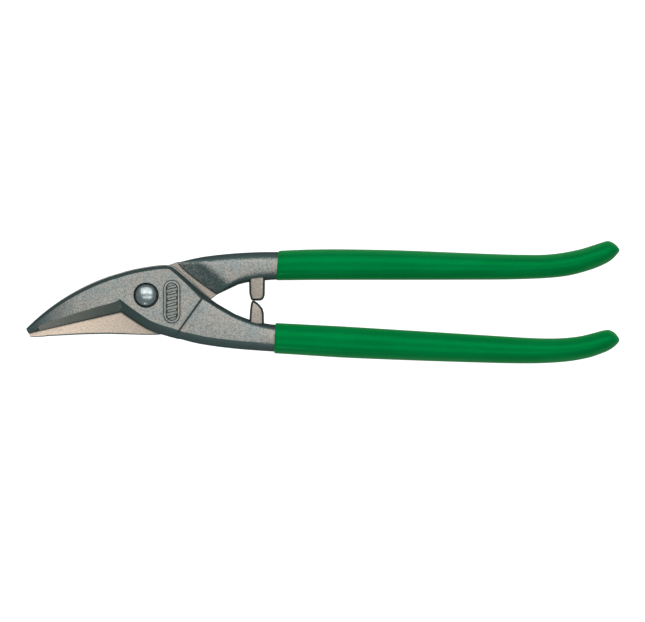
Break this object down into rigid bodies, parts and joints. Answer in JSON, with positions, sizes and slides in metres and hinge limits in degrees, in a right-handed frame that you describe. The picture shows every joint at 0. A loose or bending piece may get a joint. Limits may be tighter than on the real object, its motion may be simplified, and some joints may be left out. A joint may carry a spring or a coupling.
{
  "type": "tin snips",
  "caption": "Hole-cutting tin snips: crossed forged levers with curved tapering jaws on one domed pivot bolt, closing stops and green dip-coated handles.",
  "frame": {"origin": "on the pivot axis, at the flat end of the pivot bolt, where the tool stands on a bench on its back", "axes": "+X from the pivot towards the handle ends, +Y from the lower handle to the upper handle, +Z along the pivot axis towards the domed bolt head"},
  "size_m": [0.2747, 0.0569, 0.0193],
  "materials": {
    "forged_steel": "drop-forged and shot-blasted grey skin, with ground bright faces along the blades",
    "plated_steel": "bright zinc-plated, lightly satin",
    "locking_nylon": "moulded blue nylon",
    "green_coat": "smooth dipped PVC, semi-gloss green"
  },
  "bodies": {
    "front_half": {"front_lever": "forged_steel", "lower_grip": "green_coat", "pivot_bolt": "plated_steel", "spring_washer": "plated_steel", "lock_nut": "plated_steel", "nut_locking_ring": "locking_nylon"},
    "rear_half": {"rear_lever": "forged_steel", "upper_grip": "green_coat"}
  },
  "joints": [
    {"name": "blade_pivot", "type": "hinge", "parent": "front_half", "child": "rear_half", "pos_m": [0, 0, 0.0114], "axis": [0, 0, 1], "range_deg": [0, 40]}
  ]
}
